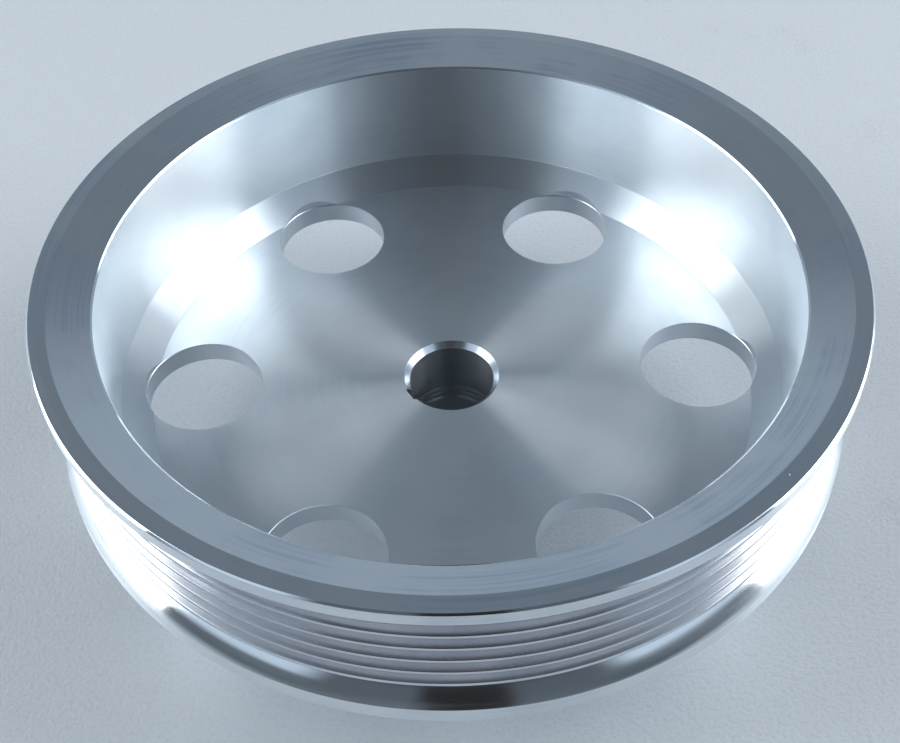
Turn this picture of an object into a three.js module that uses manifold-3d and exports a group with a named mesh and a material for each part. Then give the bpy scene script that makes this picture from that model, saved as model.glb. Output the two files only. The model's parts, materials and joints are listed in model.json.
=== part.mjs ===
// Drive pulley of a belt-driven supercharger, turned from one billet of aluminium.
// Millimetres. +Z is the pulley's axis and points out of the open, dished front.
// Z = 0 is the back face of the hub, the face that seats on the shaft's shoulder.
import * as THREE from "three";
import { mergeVertices } from "three/addons/utils/BufferGeometryUtils.js";
import Module from "manifold-3d";

const wasm = await Module();
wasm.setup();

const degrees = THREE.MathUtils.degToRad;
const at = (radius, height) => new THREE.Vector2(radius, height);

// Driving dimensions. Heights are measured up from the hub's back face, radii from the axis.
const rim = {
  radius: 77,
  front: 58,
  back: 26.2,
  edgeBreak: 0.35,
  bandRadius: 73.6, // the front face is flat outside this radius and dished inside it
  lipRadius: 65.9,
  lipDrop: 3.1, // how far the dished face falls to its lip
  lipChamfer: 0.3,
  wallEndRadius: 65.2,
  wallEnd: 31.5, // the inner wall ends here, and a cone runs down to the web
  backFaceRadius: 68.6, // the flat back face ends here and slopes down to the web
};
const flange = {
  frontWall: 2.8, // height of the straight outer wall of the front flange
  backWall: 3.5,
  backEdgeBreak: 0.25,
  curveStart: degrees(42), // share of the quarter ellipse that each flange's inner face uses
  curveEnd: degrees(62),
};
const belt = {
  pitch: 3.56, // rib spacing of an automotive poly-V belt
  grooves: 5,
  middle: 42.08, // height of the middle of the belt's track
  depth: 2.9,
  flankAngle: degrees(20), // off a plane across the axis
  crestRadius: 74.3,
  crestLand: 0.66,
};
const web = {
  face: 26.3,
  thickness: 4.6,
  faceRadius: 59.9,
  backRadius: 64.1,
};
const hub = {
  radius: 19,
  edgeBreak: 0.8,
  fillet: 2,
};
const bore = {
  radius: 8.5,
  chamfer: 1.1,
  mouthChamfer: 0.5,
};
const relief = {
  top: 14.2, // a shallow ring-marked undercut in the bore, below this height
  rings: 3,
  pitch: 1.5,
  depth: 0.3,
  ridgeDepth: 0.1,
};
const keyway = {
  width: 3.3,
  reach: 9.95, // from the axis to the keyway's floor
  angle: degrees(210), // half way between two lightening holes
};
const lighteningHole = {
  count: 6,
  radius: 11.6,
  pitchRadius: 50,
};
const detail = {
  turning: 60, // flats round the pulley
  hole: 36,
  curve: 4,
};
const overshoot = 2; // how far a cutter runs past the faces it cuts
const webBack = web.face - web.thickness;

// Points on an ellipse through two points that lie at the given angles from its centre.
function curve(from, to, startAngle, endAngle) {
  const halfWidth = (from.x - to.x) / (Math.cos(startAngle) - Math.cos(endAngle));
  const halfHeight = (from.y - to.y) / (Math.sin(startAngle) - Math.sin(endAngle));
  const centreRadius = from.x - halfWidth * Math.cos(startAngle);
  const centreHeight = from.y - halfHeight * Math.sin(startAngle);
  const points = [];
  for (let step = 0; step <= detail.curve; step++) {
    const angle = THREE.MathUtils.lerp(startAngle, endAngle, step / detail.curve);
    points.push(
      at(
        centreRadius + halfWidth * Math.cos(angle),
        centreHeight + halfHeight * Math.sin(angle),
      ),
    );
  }
  return points;
}

// Each run of the profile is walked anticlockwise: out along the back, up the belt side,
// in over the front face, and down the bore.
function backRun() {
  const filletStart = at(hub.radius, webBack - hub.fillet);
  const filletEnd = at(hub.radius + hub.fillet, webBack);
  return [
    at(hub.radius - hub.edgeBreak, 0),
    at(hub.radius, hub.edgeBreak),
    ...curve(filletStart, filletEnd, Math.PI, Math.PI / 2),
    at(web.backRadius, webBack),
    at(rim.backFaceRadius, rim.back),
    at(rim.radius - flange.backEdgeBreak, rim.back),
    at(rim.radius, rim.back + flange.backEdgeBreak),
  ];
}

function grooveRun() {
  const rootRadius = belt.crestRadius - belt.depth;
  const halfOpening = (belt.pitch - belt.crestLand) / 2;
  const halfRoot = halfOpening - belt.depth * Math.tan(belt.flankAngle);
  const points = [];
  for (let groove = 0; groove < belt.grooves; groove++) {
    const centre = belt.middle + (groove - (belt.grooves - 1) / 2) * belt.pitch;
    points.push(
      at(belt.crestRadius, centre - halfOpening),
      at(rootRadius, centre - halfRoot),
      at(rootRadius, centre + halfRoot),
      at(belt.crestRadius, centre + halfOpening),
    );
  }
  return points;
}

function beltRun() {
  const trackHalf = (belt.grooves * belt.pitch + belt.crestLand) / 2;
  const backCorner = at(rim.radius, rim.back + flange.backWall);
  const backCrest = at(belt.crestRadius, belt.middle - trackHalf);
  const frontCrest = at(belt.crestRadius, belt.middle + trackHalf);
  const frontCorner = at(rim.radius, rim.front - flange.frontWall);
  return [
    ...curve(backCorner, backCrest, flange.curveStart, flange.curveEnd),
    ...grooveRun(),
    ...curve(frontCrest, frontCorner, -flange.curveEnd, -flange.curveStart),
  ];
}

function frontRun() {
  const lip = rim.front - rim.lipDrop;
  return [
    at(rim.radius, rim.front - rim.edgeBreak),
    at(rim.radius - rim.edgeBreak, rim.front),
    at(rim.bandRadius, rim.front),
    at(rim.lipRadius + rim.lipChamfer, lip),
    at(rim.lipRadius, lip - rim.lipChamfer),
    at(rim.wallEndRadius, rim.wallEnd),
    at(web.faceRadius, web.face),
    at(bore.radius + bore.chamfer, web.face),
  ];
}

function boreRun() {
  const points = [at(bore.radius, web.face - bore.chamfer), at(bore.radius, relief.top)];
  for (let ring = 0; ring < relief.rings; ring++) {
    const top = relief.top - ring * relief.pitch;
    const ridgeDepth = ring === relief.rings - 1 ? 0 : relief.ridgeDepth;
    points.push(
      at(bore.radius + relief.depth, top - relief.pitch / 2),
      at(bore.radius + ridgeDepth, top - relief.pitch),
    );
  }
  points.push(at(bore.radius, bore.mouthChamfer), at(bore.radius + bore.mouthChamfer, 0));
  return points;
}

// A geometry with only positions and shared vertices, as a manifold-3d solid.
function solidFrom(geometry) {
  geometry.deleteAttribute("normal");
  geometry.deleteAttribute("uv");
  const merged = mergeVertices(geometry, 1e-4);
  return new wasm.Manifold(
    new wasm.Mesh({
      numProp: 3,
      vertProperties: merged.attributes.position.array,
      triVerts: new Uint32Array(merged.index.array),
    }),
  );
}

function geometryFrom(solid) {
  const mesh = solid.getMesh();
  const geometry = new THREE.BufferGeometry();
  geometry.setAttribute("position", new THREE.BufferAttribute(mesh.vertProperties, 3));
  geometry.setIndex(new THREE.BufferAttribute(mesh.triVerts, 1));
  const faceted = geometry.toNonIndexed();
  faceted.computeVertexNormals();
  return faceted;
}

function turnedBillet() {
  const profile = [...backRun(), ...beltRun(), ...frontRun(), ...boreRun()];
  profile.push(profile[0].clone());
  const turned = new THREE.LatheGeometry(profile, detail.turning);
  turned.rotateX(Math.PI / 2);
  return solidFrom(turned);
}

function lighteningHoleCutter(index) {
  const length = web.thickness + 2 * overshoot;
  const cutter = new THREE.CylinderGeometry(
    lighteningHole.radius,
    lighteningHole.radius,
    length,
    detail.hole,
  );
  const angle = (index * 2 * Math.PI) / lighteningHole.count;
  cutter.rotateX(Math.PI / 2);
  cutter.translate(
    lighteningHole.pitchRadius * Math.cos(angle),
    lighteningHole.pitchRadius * Math.sin(angle),
    webBack + length / 2 - overshoot,
  );
  return solidFrom(cutter);
}

function keywayCutter() {
  const length = web.face + 2 * overshoot;
  const cutter = new THREE.BoxGeometry(keyway.reach, keyway.width, length);
  cutter.translate(keyway.reach / 2, 0, length / 2 - overshoot);
  cutter.rotateZ(keyway.angle);
  return solidFrom(cutter);
}

function drivePulley() {
  let solid = turnedBillet().subtract(keywayCutter());
  for (let index = 0; index < lighteningHole.count; index++) {
    solid = solid.subtract(lighteningHoleCutter(index));
  }
  const polishedAluminium = new THREE.MeshStandardMaterial({
    color: 0xc8ced4,
    metalness: 1,
    roughness: 0.22,
  });
  const mesh = new THREE.Mesh(geometryFrom(solid), polishedAluminium);
  mesh.name = "drive_pulley";
  return mesh;
}

const supercharger_pulley = new THREE.Group();
supercharger_pulley.add(drivePulley());

export default supercharger_pulley;
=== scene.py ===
import json
import math

import bmesh
import bpy
from mathutils import Matrix, Vector


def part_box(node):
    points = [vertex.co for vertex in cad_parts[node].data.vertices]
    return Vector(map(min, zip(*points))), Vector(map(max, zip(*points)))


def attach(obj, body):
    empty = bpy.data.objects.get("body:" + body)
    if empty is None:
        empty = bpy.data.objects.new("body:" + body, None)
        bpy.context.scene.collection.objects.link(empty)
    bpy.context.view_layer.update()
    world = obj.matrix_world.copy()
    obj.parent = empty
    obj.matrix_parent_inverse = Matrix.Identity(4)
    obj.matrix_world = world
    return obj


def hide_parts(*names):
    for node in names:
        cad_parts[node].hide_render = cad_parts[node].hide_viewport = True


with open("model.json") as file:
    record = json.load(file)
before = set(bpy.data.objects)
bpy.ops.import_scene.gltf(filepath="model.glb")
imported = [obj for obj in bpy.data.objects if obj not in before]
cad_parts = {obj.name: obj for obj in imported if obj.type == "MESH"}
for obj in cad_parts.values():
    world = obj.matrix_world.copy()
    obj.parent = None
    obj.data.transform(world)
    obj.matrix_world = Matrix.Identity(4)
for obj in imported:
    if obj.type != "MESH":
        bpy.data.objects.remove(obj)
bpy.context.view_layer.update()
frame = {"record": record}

MM = 0.001
NODE = "drive_pulley"
cad_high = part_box(NODE)[1]
mount_height = {m["name"]: m["pos_m"][2] / MM for m in frame["record"]["mounts"]}

RIM_RADIUS = cad_high.x / MM
RIM_FRONT = cad_high.z / MM
WEB_FACE = mount_height["shaft_nut_face"]
WEB_THICKNESS = 4.6
WEB_BACK = WEB_FACE - WEB_THICKNESS
WEB_FACE_RADIUS = 59.9
WEB_BACK_RADIUS = 64.1
RIM_BACK = 26.2
RIM_BACK_RADIUS = 68.6
BAND_RADIUS = 73.6
LIP_RADIUS = 65.9
LIP_DROP = 3.1
LIP_CHAMFER_WIDTH = 0.35
LIP_CHAMFER_DROP = 0.3
WALL_END = (65.2, 31.5)
FRONT_FLANGE_WALL = 2.8
BACK_FLANGE_WALL = 3.5
CURVE_SHALLOW = math.radians(42)  # the part of an ellipse that each flange's inner face uses
CURVE_STEEP = math.radians(62)
CURVE_STEPS = 10
CURVE_END_ROUNDING = 0.12
CREST_RADIUS = 74.3
CREST_LAND = 0.66
BELT_PITCH = 3.56
BELT_MIDDLE = 42.08
GROOVES = 5
GROOVE_DEPTH = 2.9
FLANK_SLOPE = math.tan(math.radians(20))
HUB_RADIUS = 19.0
HUB_FILLET = 2.0
HUB_FILLET_STEPS = 8
BORE_RADIUS = 8.5
BORE_CHAMFER = 1.1
BORE_MOUTH_CHAMFER = 0.5
RELIEF_TOP = 14.2
RELIEF_RINGS = 3
RELIEF_PITCH = 1.5
RELIEF_DEPTH = 0.3
RELIEF_RIDGE_DEPTH = 0.1
RIM_EDGE_BREAK = 0.35
KEYWAY_WIDTH = 3.3
KEYWAY_REACH = 9.95
KEYWAY_ANGLE = math.radians(210)
KEYWAY_CORNER = 0.35
KEYWAY_CORNER_STEPS = 4
HOLES = 6
HOLE_RADIUS = 11.6
HOLE_PITCH_RADIUS = 50.0
HOLE_EDGE_BREAK = 0.12
SEGMENTS = 288
HOLE_SEGMENTS = 96
ARC_STEP = math.radians(12)
SHARP_ANGLE = math.radians(35)
SUPPORT = 0.06  # a thin flat ring beside each rounding keeps the shading of large faces flat
OVERSHOOT = 2.0  # how far a cutter runs past the faces it cuts


# ---------------------------------------------------------------- materials

class Graph:
    """Short names for adding shader nodes and their links."""

    def __init__(self, tree):
        self.nodes = tree.nodes
        self.links = tree.links

    def put(self, socket, value):
        if isinstance(value, bpy.types.NodeSocket):
            self.links.new(value, socket)
        elif value is not None:
            socket.default_value = value

    def add(self, kind, output, inputs=(), **settings):
        node = self.nodes.new(kind)
        for key, value in settings.items():
            setattr(node, key, value)
        for key, value in dict(inputs).items():
            self.put(node.inputs[key], value)
        return node.outputs[output]

    def math(self, operation, a, b=None, clamp=False):
        inputs = {0: a} if b is None else {0: a, 1: b}
        return self.add("ShaderNodeMath", 0, inputs, operation=operation, use_clamp=clamp)

    def ramp(self, value, low, high, out_low=0.0, out_high=1.0):
        """Smooth step of a value from low to high."""
        inputs = {
            "Value": value,
            "From Min": low,
            "From Max": high,
            "To Min": out_low,
            "To Max": out_high,
        }
        return self.add("ShaderNodeMapRange", "Result", inputs, interpolation_type="SMOOTHSTEP")

    def noise(self, place, scale, detail=2.0, roughness=0.5):
        inputs = {"Vector": place, "Scale": scale, "Detail": detail, "Roughness": roughness}
        return self.add("ShaderNodeTexNoise", "Fac", inputs)

    def noise_line(self, along, detail=2.0):
        inputs = {"W": along, "Scale": 1.0, "Detail": detail}
        return self.add("ShaderNodeTexNoise", "Fac", inputs, noise_dimensions="1D")

    def vector(self, x, y, z):
        return self.add("ShaderNodeCombineXYZ", 0, {0: x, 1: y, 2: z})

    def blend(self, share, a, b):
        inputs = {"Factor": share, "A": a, "B": b}
        return self.add("ShaderNodeMix", "Result", inputs, data_type="FLOAT")

    def blend_colour(self, share, a, b):
        node = self.nodes.new("ShaderNodeMix")
        node.data_type = "RGBA"
        for index, value in ((0, share), (6, a), (7, b)):
            self.put(node.inputs[index], value)
        return node.outputs[2]


# Patterns on the metal. Each is a number of waves or cells per millimetre unless it says otherwise.
PROFILE_SLANT = 1.37  # height counts more than radius, so a wall and a face don't match
COARSE_MARKS = 1.7
FINE_MARKS = 7.0
FINE_MARK_SHARE = 0.25  # height of the fine marks as a share of the coarse ones
STREAKS_ACROSS = 1.1
STREAKS_AROUND = 1.6  # per unit of the bearing's sine and cosine
SMUDGES = 0.045
DUST_CELLS = 0.33
SPECK_RADIUS = 0.055  # as a share of a dust cell
SPECK_ROUGHNESS = 0.8
CLEAN_METAL = (0.82, 0.87, 0.915)
DULL_METAL = (0.74, 0.80, 0.86)
BLUE_STAIN = (0.56, 0.68, 0.80)
DUST_COLOUR = (0.9, 0.92, 0.95, 1)


def turned_aluminium(name, roughness, anisotropy, marks, streaks, stain, dust_share, painted_light_and_shade):
    """Bare aluminium off a lathe: grooves round the axis too fine to see make the highlights
    stretch, coarser marks and streaks show as rings, over them lie stains and dust."""
    material = bpy.data.materials.new(name)
    material.use_nodes = True
    graph = Graph(material.node_tree)
    shader = material.node_tree.nodes["Principled BSDF"]
    metres = graph.add("ShaderNodeTexCoord", "Object")
    place = graph.add("ShaderNodeVectorMath", 0, {0: metres, "Scale": 1 / MM}, operation="SCALE")
    axes = material.node_tree.nodes.new("ShaderNodeSeparateXYZ")
    graph.put(axes.inputs[0], place)
    x, y, height = axes.outputs
    x_squared, y_squared = graph.math("MULTIPLY", x, x), graph.math("MULTIPLY", y, y)
    radius = graph.math("SQRT", graph.math("ADD", x_squared, y_squared))
    along = graph.math("ADD", radius, graph.math("MULTIPLY", height, PROFILE_SLANT))
    cos = graph.math("DIVIDE", x, graph.math("MAXIMUM", radius, 0.01))
    sin = graph.math("DIVIDE", y, graph.math("MAXIMUM", radius, 0.01))

    rings = graph.noise_line(graph.math("MULTIPLY", along, COARSE_MARKS), 3.0)
    fine_rings = graph.noise_line(graph.math("MULTIPLY", along, FINE_MARKS), 2.0)
    arcs = graph.noise(
        graph.vector(
            graph.math("MULTIPLY", along, STREAKS_ACROSS),
            graph.math("MULTIPLY", cos, STREAKS_AROUND),
            graph.math("MULTIPLY", sin, STREAKS_AROUND),
        ),
        1.0,
        3.0,
        0.5,
    )
    smudges = graph.noise(place, SMUDGES, 3.0, 0.55)

    rough = graph.ramp(arcs, 0.3, 0.7, -streaks, streaks)
    rough = graph.math("ADD", rough, graph.ramp(smudges, 0.35, 0.7, -0.02, 0.04))
    rough = graph.math("ADD", rough, roughness, clamp=True)

    cells = {"Vector": place, "Scale": DUST_CELLS}
    speck_distance = graph.add("ShaderNodeTexVoronoi", "Distance", cells)
    speck_colour = graph.add("ShaderNodeTexVoronoi", "Color", cells)
    speck = graph.math("LESS_THAN", speck_distance, SPECK_RADIUS)
    chance = graph.math("LESS_THAN", speck_colour, dust_share)
    speck = graph.math("MULTIPLY", speck, chance)

    relief = graph.math("MULTIPLY", rings, marks)
    relief = graph.math("ADD", relief, graph.math("MULTIPLY", fine_rings, marks * FINE_MARK_SHARE))
    normal = graph.add(
        "ShaderNodeBump", "Normal", {"Height": relief, "Strength": 1.0, "Distance": MM}
    )

    # The metal colours are multiplied by the finish's painted light and shade, a colour scale standing
    # in for how light falls on that surface.
    clean_painted_light, dull_painted_light, stain_painted_light = (
        tuple(level * share for level, share in zip(metal, painted_light_and_shade)) + (1,)
        for metal in (CLEAN_METAL, DULL_METAL, BLUE_STAIN)
    )
    colour = graph.blend_colour(graph.ramp(smudges, 0.35, 0.75), clean_painted_light, dull_painted_light)
    stained = graph.math("MULTIPLY", graph.ramp(arcs, 0.42, 0.68), graph.ramp(smudges, 0.4, 0.6))
    colour = graph.blend_colour(graph.math("MULTIPLY", stained, stain), colour, stain_painted_light)
    colour = graph.blend_colour(speck, colour, DUST_COLOUR)
    graph.put(shader.inputs["Base Color"], colour)
    graph.put(shader.inputs["Metallic"], graph.math("SUBTRACT", 1.0, speck))
    speck_rough = graph.math("MULTIPLY", speck, SPECK_ROUGHNESS)
    graph.put(shader.inputs["Roughness"], graph.math("MAXIMUM", rough, speck_rough))
    graph.put(shader.inputs["Anisotropic"], anisotropy)
    graph.put(shader.inputs["Normal"], normal)
    tangent = graph.add("ShaderNodeTangent", "Tangent", direction_type="RADIAL", axis="Z")
    graph.put(shader.inputs["Tangent"], tangent)
    graph.put(shader.inputs["Anisotropic Rotation"], 0.25)  # a quarter turn: along the marks
    return material


PLAIN = (1.0, 1.0, 1.0)
# finish: roughness, anisotropy, height of the turning marks in mm, streaks, stains, dust, painted light
# and shade.
# Streaks and smudges shift the roughness, and no finish's range holds 0.274: where one did,
# thin lines showed in the render.
# The last column is painted light and shade: painted shade darkens the bore, holes, grooves and cone,
# and painted light brightens the web, wall and strip.
LOOKS = {
    "web": (0.3, 1.0, 0.0, 0.003, 0.15, 0.04, (1.07, 1.07, 1.06)),
    "cone": (0.3, 1.0, 0.0, 0.003, 0.1, 0.02, (0.84, 0.84, 0.84)),
    "wall": (0.3, 1.0, 0.0, 0.003, 0.1, 0.03, (1.08, 1.06, 1.03)),
    "front": (0.12, 0.7, 0.0008, 0.05, 0.75, 0.14, PLAIN),
    "track": (0.14, 0.85, 0.0008, 0.05, 0.3, 0.03, (0.98, 0.97, 0.96)),
    "strip": (0.31, 0.95, 0.0005, 0.01, 0.2, 0.0, (1.08, 1.06, 1.04)),
    "groove": (0.15, 0.85, 0.0005, 0.02, 0.0, 0.0, (0.82, 0.78, 0.78)),
    "back": (0.33, 0.9, 0.003, 0.03, 0.2, 0.02, PLAIN),
    "hole": (0.33, 0.5, 0.001, 0.03, 0.0, 0.0, (0.82, 0.82, 0.82)),
    "bore": (0.32, 0.9, 0.0005, 0.02, 0.0, 0.0, (0.6, 0.6, 0.6)),
    "chamfer": (0.19, 0.7, 0.0008, 0.03, 0.0, 0.0, (0.98, 0.98, 0.98)),
    "edge": (0.08, 0.5, 0.001, 0.02, 0.0, 0.0, PLAIN),
}
MATERIALS = {
    finish: turned_aluminium("aluminium_" + finish, *look) for finish, look in LOOKS.items()
}
FINISHES = list(LOOKS)


# ---------------------------------------------------------------- turned shapes

def rounded_profile(corners):
    """Corners (radius, height, rounding, finish) of a closed profile, as points with each
    corner rounded. A finish names the surface that runs from its corner to the next one."""
    points = []
    count = len(corners)
    for i, (radius, height, rounding, finish) in enumerate(corners):
        here = Vector((radius, height))
        before = Vector(corners[i - 1][:2]) - here
        after = Vector(corners[(i + 1) % count][:2]) - here
        before_finish = corners[i - 1][3]
        if rounding <= 0:
            points.append((here, finish))
            continue
        half = before.angle(after) / 2
        reach = min(rounding / math.tan(half), 0.45 * before.length, 0.45 * after.length)
        before_way, after_way = before.normalized(), after.normalized()
        start = here + before_way * reach
        end = here + after_way * reach
        centre = here + (before_way + after_way).normalized() * (reach / math.cos(half))
        turn = math.pi - 2 * half
        steps = max(2, round(turn / ARC_STEP))
        sweep = (start - centre).angle_signed(end - centre)
        points.append((start + before_way * SUPPORT, before_finish))
        for step in range(steps + 1):
            arm = (start - centre).copy()
            arm.rotate(Matrix.Rotation(-sweep * step / steps, 2))
            points.append((centre + arm, before_finish if step < steps / 2 else finish))
        points.append((end + after_way * SUPPORT, finish))
    return points


def arc_corners(start, end, start_angle, end_angle, steps, finish, end_rounding=0.0):
    """Corners on an ellipse from start to end, at the given angles from its centre."""
    half_width = (start[0] - end[0]) / (math.cos(start_angle) - math.cos(end_angle))
    half_height = (start[1] - end[1]) / (math.sin(start_angle) - math.sin(end_angle))
    centre_radius = start[0] - half_width * math.cos(start_angle)
    centre_height = start[1] - half_height * math.sin(start_angle)
    corners = []
    for step in range(steps + 1):
        angle = start_angle + (end_angle - start_angle) * step / steps
        radius = centre_radius + half_width * math.cos(angle)
        height = centre_height + half_height * math.sin(angle)
        rounding = end_rounding if step in (0, steps) else 0
        corners.append((radius, height, rounding, finish))
    return corners


def turned_mesh(name, points, segments):
    """A closed profile turned round the Z axis, with one material slot per finish."""
    bm = bmesh.new()
    rings = []
    for k in range(segments):
        angle = 2 * math.pi * k / segments
        cos, sin = math.cos(angle) * MM, math.sin(angle) * MM
        rings.append([bm.verts.new((p.x * cos, p.x * sin, p.y * MM)) for p, _ in points])
    count = len(points)
    for k in range(segments):
        ring, following = rings[k], rings[(k + 1) % segments]
        for i, (_, finish) in enumerate(points):
            j = (i + 1) % count
            face = bm.faces.new((ring[i], following[i], following[j], ring[j]))
            face.material_index = FINISHES.index(finish)
    mesh = bpy.data.meshes.new(name)
    bm.to_mesh(mesh)
    bm.free()
    for finish in FINISHES:
        mesh.materials.append(MATERIALS[finish])
    return mesh


def linked_object(name, mesh):
    made = bpy.data.objects.new(name, mesh)
    bpy.context.scene.collection.objects.link(made)
    return made


def cut(target, cutters):
    """Cuts closed solids out of the target and keeps only the resulting mesh."""
    for cutter in cutters:
        modifier = target.modifiers.new("cut", "BOOLEAN")
        modifier.operation = "DIFFERENCE"
        modifier.solver = "EXACT"
        modifier.material_mode = "TRANSFER"
        modifier.object = cutter
    bpy.context.view_layer.update()
    graph = bpy.context.evaluated_depsgraph_get()
    result = bpy.data.meshes.new_from_object(target.evaluated_get(graph))
    target.modifiers.clear()
    target.data = result
    for cutter in cutters:
        bpy.data.objects.remove(cutter)


# ---------------------------------------------------------------- the pulley's profile

def back_corners():
    fillet_start = (HUB_RADIUS, WEB_BACK - HUB_FILLET)
    fillet_end = (HUB_RADIUS + HUB_FILLET, WEB_BACK)
    return [
        (HUB_RADIUS, 0, 0.5, "back"),
        *arc_corners(fillet_start, fillet_end, math.pi, math.pi / 2, HUB_FILLET_STEPS, "back"),
        (WEB_BACK_RADIUS, WEB_BACK, 1.5, "back"),
        (RIM_BACK_RADIUS, RIM_BACK, 0.6, "back"),
        (RIM_RADIUS, RIM_BACK, 0.22, "strip"),
    ]


def groove_corners():
    """Five V grooves with rounded crests and roots, from the back of the track to its front."""
    root_radius = CREST_RADIUS - GROOVE_DEPTH
    half_opening = (BELT_PITCH - CREST_LAND) / 2
    half_root = half_opening - GROOVE_DEPTH * FLANK_SLOPE
    corners = []
    for groove in range(GROOVES):
        centre = BELT_MIDDLE + (groove - (GROOVES - 1) / 2) * BELT_PITCH
        corners += [
            (CREST_RADIUS, centre - half_opening, 0.16, "groove"),
            (root_radius, centre - half_root, 0.25, "groove"),
            (root_radius, centre + half_root, 0.25, "groove"),
            (CREST_RADIUS, centre + half_opening, 0.16, "groove"),
        ]
    return corners


def belt_side_corners():
    half_track = (GROOVES * BELT_PITCH + CREST_LAND) / 2
    shallow, steep = CURVE_SHALLOW, CURVE_STEEP
    steps, rounding = CURVE_STEPS, CURVE_END_ROUNDING
    back_corner = (RIM_RADIUS, RIM_BACK + BACK_FLANGE_WALL)
    back_crest = (CREST_RADIUS, BELT_MIDDLE - half_track)
    front_crest = (CREST_RADIUS, BELT_MIDDLE + half_track)
    front_corner = (RIM_RADIUS, RIM_FRONT - FRONT_FLANGE_WALL)
    back_curve = arc_corners(back_corner, back_crest, shallow, steep, steps, "track", rounding)
    front_curve = arc_corners(front_crest, front_corner, -steep, -shallow, steps, "track", rounding)
    return [
        *back_curve,
        *groove_corners(),
        *front_curve[:-1],
        (*front_corner, rounding, "strip"),
    ]


def front_corners():
    lip = RIM_FRONT - LIP_DROP
    return [
        (RIM_RADIUS, RIM_FRONT - RIM_EDGE_BREAK, 0.1, "edge"),
        (RIM_RADIUS - RIM_EDGE_BREAK, RIM_FRONT, 0.1, "front"),
        (BAND_RADIUS, RIM_FRONT, 0.25, "front"),
        (LIP_RADIUS + LIP_CHAMFER_WIDTH, lip, 0.08, "edge"),
        (LIP_RADIUS, lip - LIP_CHAMFER_DROP, 0.08, "wall"),
        (*WALL_END, 0.25, "cone"),
        (WEB_FACE_RADIUS, WEB_FACE, 0.3, "web"),
        (BORE_RADIUS + BORE_CHAMFER, WEB_FACE, 0.06, "chamfer"),
        (BORE_RADIUS, WEB_FACE - BORE_CHAMFER, 0.06, "bore"),
    ]


def bore_corners():
    corners = [(BORE_RADIUS, RELIEF_TOP, 0.08, "bore")]
    for ring in range(RELIEF_RINGS):
        top = RELIEF_TOP - ring * RELIEF_PITCH
        ridge_depth = 0 if ring == RELIEF_RINGS - 1 else RELIEF_RIDGE_DEPTH
        corners += [
            (BORE_RADIUS + RELIEF_DEPTH, top - RELIEF_PITCH / 2, 0.08, "bore"),
            (BORE_RADIUS + ridge_depth, top - RELIEF_PITCH, 0.08, "bore"),
        ]
    corners.append((BORE_RADIUS, BORE_MOUTH_CHAMFER, 0.05, "edge"))
    corners.append((BORE_RADIUS + BORE_MOUTH_CHAMFER, 0, 0.05, "back"))
    return corners


def hole_cutter(index):
    """A round hole with a fine edge break at both of the web's faces."""
    wide = HOLE_RADIUS + HOLE_EDGE_BREAK
    corners = [
        (wide, WEB_BACK - OVERSHOOT),
        (wide, WEB_BACK - 0.01),
        (HOLE_RADIUS, WEB_BACK + HOLE_EDGE_BREAK),
        (HOLE_RADIUS, WEB_FACE - HOLE_EDGE_BREAK),
        (wide, WEB_FACE + 0.01),
        (wide, WEB_FACE + OVERSHOOT),
    ]
    bm = bmesh.new()
    rings = []
    for radius, height in corners:
        ring = []
        for k in range(HOLE_SEGMENTS):
            angle = 2 * math.pi * k / HOLE_SEGMENTS
            ring.append(
                bm.verts.new((radius * math.cos(angle) * MM, radius * math.sin(angle) * MM, height * MM))
            )
        rings.append(ring)
    for lower, upper in zip(rings, rings[1:]):
        for k in range(HOLE_SEGMENTS):
            j = (k + 1) % HOLE_SEGMENTS
            bm.faces.new((lower[k], lower[j], upper[j], upper[k]))
    bm.faces.new(list(reversed(rings[0])))
    bm.faces.new(rings[-1])
    angle = 2 * math.pi * index / HOLES
    place = Vector((math.cos(angle), math.sin(angle), 0)) * HOLE_PITCH_RADIUS * MM
    bmesh.ops.translate(bm, verts=bm.verts, vec=place)
    mesh = bpy.data.meshes.new("hole_cutter")
    bm.to_mesh(mesh)
    bm.free()
    mesh.materials.append(MATERIALS["hole"])
    return linked_object("hole_cutter", mesh)


def keyway_cutter():
    """A straight slot along the bore, with rounded corners at its floor."""
    half = KEYWAY_WIDTH / 2
    corner = KEYWAY_CORNER
    outline = [(0, -half)]
    for centre_y, start in ((-half + corner, -90), (half - corner, 0)):
        for step in range(KEYWAY_CORNER_STEPS + 1):
            angle = math.radians(start + 90 * step / KEYWAY_CORNER_STEPS)
            outline.append(
                (
                    KEYWAY_REACH - corner + corner * math.cos(angle),
                    centre_y + corner * math.sin(angle),
                )
            )
    outline.append((0, half))
    bm = bmesh.new()
    low, high = -OVERSHOOT, WEB_FACE + OVERSHOOT
    lower = [bm.verts.new((x * MM, y * MM, low * MM)) for x, y in outline]
    upper = [bm.verts.new((x * MM, y * MM, high * MM)) for x, y in outline]
    for k in range(len(outline)):
        j = (k + 1) % len(outline)
        bm.faces.new((lower[k], lower[j], upper[j], upper[k]))
    bm.faces.new(list(reversed(lower)))
    bm.faces.new(upper)
    bmesh.ops.rotate(bm, verts=bm.verts, matrix=Matrix.Rotation(KEYWAY_ANGLE, 3, "Z"))
    mesh = bpy.data.meshes.new("keyway_cutter")
    bm.to_mesh(mesh)
    bm.free()
    # The keyway's walls take the bore's finish, with its painted shade.
    mesh.materials.append(MATERIALS["bore"])
    return linked_object("keyway_cutter", mesh)


def pulley():
    corners = back_corners() + belt_side_corners() + front_corners() + bore_corners()
    mesh = turned_mesh("pulley", rounded_profile(corners), SEGMENTS)
    made = linked_object("pulley_billet", mesh)
    cut(made, [keyway_cutter()] + [hole_cutter(i) for i in range(HOLES)])
    made.data.shade_smooth()
    made.data.set_sharp_from_angle(angle=SHARP_ANGLE)
    return made


piece = pulley()

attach(piece, "root")
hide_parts(NODE)


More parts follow.
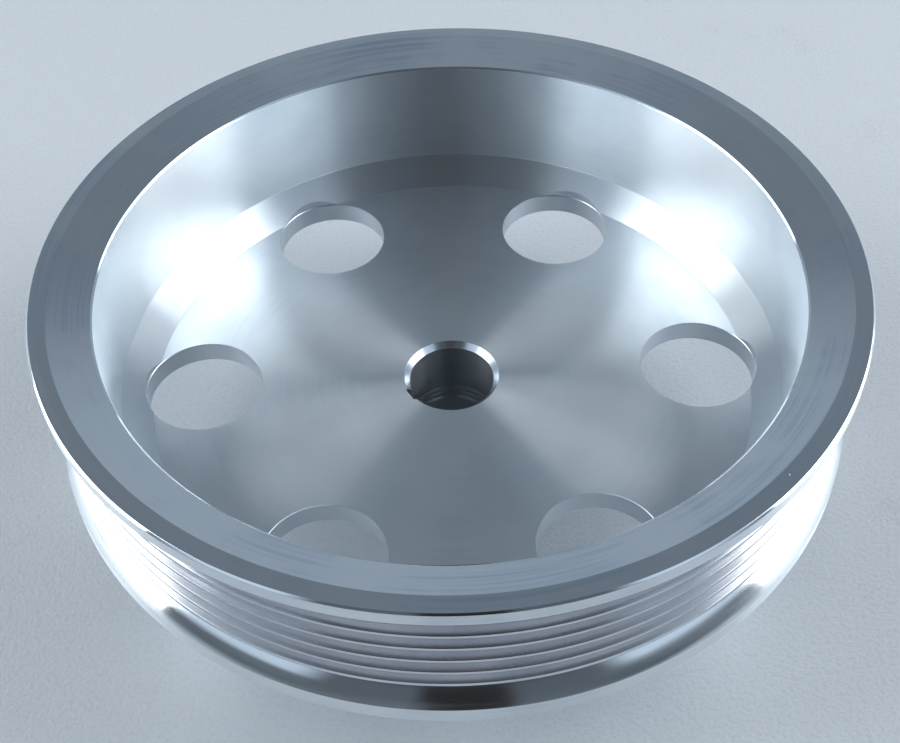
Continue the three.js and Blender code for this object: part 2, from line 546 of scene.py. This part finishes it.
# ---------------------------------------------------------------- table, light, camera

TABLE_HALF = 4  # metres
TABLE_COLOUR = (0.74, 0.77, 0.80, 1)
TABLE_ROUGHNESS = 0.42
GRAIN = 1.1  # waves per millimetre
GRAIN_SHADE = 0.06
GRAIN_HEIGHT = 0.2
PATCHES = 0.03


def table_top():
    """A wide pale board with a faint paper grain and a few worn patches."""
    bm = bmesh.new()
    bmesh.ops.create_grid(bm, x_segments=8, y_segments=8, size=TABLE_HALF)
    mesh = bpy.data.meshes.new("table")
    bm.to_mesh(mesh)
    bm.free()
    made = linked_object("table", mesh)
    material = bpy.data.materials.new("table_paper")
    material.use_nodes = True
    graph = Graph(material.node_tree)
    shader = material.node_tree.nodes["Principled BSDF"]
    metres = graph.add("ShaderNodeTexCoord", "Object")
    place = graph.add("ShaderNodeVectorMath", 0, {0: metres, "Scale": 1 / MM}, operation="SCALE")
    grain = graph.noise(place, GRAIN, 3.0, 0.6)
    patches = graph.noise(place, PATCHES, 4.0, 0.6)
    shade = graph.math("ADD", graph.ramp(grain, 0.3, 0.7, -GRAIN_SHADE, GRAIN_SHADE), 1.0)
    shade = graph.math("MULTIPLY", shade, graph.ramp(patches, 0.55, 0.75, 1.0, 0.94))
    colour = graph.blend_colour(shade, (0, 0, 0, 1), TABLE_COLOUR)
    graph.put(shader.inputs["Base Color"], colour)
    graph.put(shader.inputs["Roughness"], TABLE_ROUGHNESS)
    graph.put(shader.inputs["Specular IOR Level"], 0.5)
    bump = {"Height": grain, "Strength": 0.8, "Distance": GRAIN_HEIGHT * MM}
    graph.put(shader.inputs["Normal"], graph.add("ShaderNodeBump", "Normal", bump))
    mesh.materials.append(material)


table_top()


SOFTBOX_REACH = 0.8
SOFTBOX_HIGH = 1.03
SOFTBOX_COLOUR = (0.93, 0.97, 1.0)


def softbox(name, side, front, back, low, radiance):
    """An upright soft light at one side of the table, in metres, which the pulley mirrors."""
    width, height = back - front, SOFTBOX_HIGH - low
    middle = Vector((side * SOFTBOX_REACH, (front + back) / 2, low + height / 2))
    target = Vector((0, middle.y, middle.z))
    data = bpy.data.lights.new(name, "AREA")
    data.shape = "RECTANGLE"
    data.size, data.size_y = width, height
    data.energy = radiance * math.pi * width * height
    data.color = SOFTBOX_COLOUR
    lamp = bpy.data.objects.new(name, data)
    bpy.context.scene.collection.objects.link(lamp)
    lamp.location = middle
    lamp.rotation_mode = "QUATERNION"
    lamp.rotation_quaternion = (target - middle).to_track_quat("-Z", "Y")
    lamp.visible_camera = False


softbox("softbox_left", -1, -0.27, 0.36, 0.03, 3.1)
softbox("softbox_right", 1, -0.27, 0.38, 0.03, 3.65)
softbox("panel_left", -1, 0.36, 0.90, 0.56, 2.2)
softbox("panel_right", 1, 0.38, 0.90, 0.56, 2.0)


ROOM_TINT = (0.80, 0.95, 1.12, 1)
CAMERA_SIDE_TINT = (0.94, 0.92, 1.0, 1)
BACKDROP_COLOUR = (0.55, 0.60, 0.65, 1)


def studio_world():
    """A dim room: grey behind, fading from the lights at both sides to the dark round the
    camera, and plain pale grey where the camera itself looks past the table."""
    world = bpy.data.worlds.new("studio")
    bpy.context.scene.world = world
    world.use_nodes = True
    graph = Graph(world.node_tree)
    background = world.node_tree.nodes["Background"]
    direction = graph.add("ShaderNodeTexCoord", "Generated")
    axes = world.node_tree.nodes.new("ShaderNodeSeparateXYZ")
    graph.put(axes.inputs[0], direction)
    x, y, z = axes.outputs
    degree = math.radians(1)
    # Both angles are in degrees. The bearing is 0 at the camera's side and 180 behind the pulley.
    # Each ramp runs between two angles, and its last two numbers are brightnesses.
    bearing = graph.math("ARCTAN2", x, graph.math("MULTIPLY", y, -1.0))
    aside = graph.math("DIVIDE", graph.math("ABSOLUTE", bearing), degree)
    elevation = graph.math("DIVIDE", graph.math("ARCSINE", z), degree)
    camera_side = graph.ramp(aside, 8, 14)
    floor_front = graph.blend(camera_side, 0.022, 0.13)
    bank = graph.ramp(aside, 32, 44, 0.13, 0.75)
    bank = graph.blend(camera_side, 0.03, bank)
    upper_front = graph.ramp(aside, 20, 86, 0.065, 0.60)
    front = graph.blend(graph.ramp(elevation, 17, 24), floor_front, bank)
    front = graph.blend(graph.ramp(elevation, 36, 45), front, upper_front)
    front = graph.blend(graph.ramp(elevation, 56, 72), front, 0.14)
    back = graph.ramp(elevation, 22, 44, 0.38, 0.20)
    back = graph.blend(graph.ramp(elevation, 55, 75), back, 0.27)
    light = graph.blend(graph.ramp(aside, 85, 112), front, back)
    tint = graph.blend_colour(camera_side, CAMERA_SIDE_TINT, ROOM_TINT)
    seen = graph.add("ShaderNodeLightPath", "Is Camera Ray")
    graph.put(background.inputs["Color"], graph.blend_colour(seen, tint, BACKDROP_COLOUR))
    graph.put(background.inputs["Strength"], graph.blend(seen, light, 1.0))


studio_world()

CAMERA_DISTANCE = 3.183  # in rim radii, from the middle of the rim's front plane
CAMERA_ELEVATION = math.radians(42.183)
CAMERA_PITCH = math.radians(47.091)
CAMERA_YAW = math.radians(0.107)
CAMERA_ROLL = math.radians(-1.67)
CAMERA_TURN = math.radians(-1.31)  # the pulley lies turned by this much against the camera
LENS = 52.76
SENSOR_WIDTH = 36


def photo_camera():
    data = bpy.data.cameras.new("camera")
    data.sensor_width = SENSOR_WIDTH
    data.lens = LENS
    camera = bpy.data.objects.new("camera", data)
    bpy.context.scene.collection.objects.link(camera)
    away = Vector((0, -math.cos(CAMERA_ELEVATION), math.sin(CAMERA_ELEVATION)))
    place = away * CAMERA_DISTANCE * RIM_RADIUS + Vector((0, 0, RIM_FRONT))
    forward = Vector((0, math.cos(CAMERA_PITCH), -math.sin(CAMERA_PITCH)))
    forward.rotate(Matrix.Rotation(CAMERA_YAW, 3, "Z"))
    right = forward.cross(Vector((0, 0, 1))).normalized()
    up = right.cross(forward)
    rolled_right = right * math.cos(CAMERA_ROLL) + up * math.sin(CAMERA_ROLL)
    rolled_up = up * math.cos(CAMERA_ROLL) - right * math.sin(CAMERA_ROLL)
    axes = Matrix((rolled_right, rolled_up, -forward)).transposed().to_4x4()
    turn = Matrix.Rotation(CAMERA_TURN, 4, "Z")
    camera.matrix_world = turn @ Matrix.Translation(place * MM) @ axes
    bpy.context.scene.camera = camera


photo_camera()
bpy.context.scene.view_settings.view_transform = "Standard"
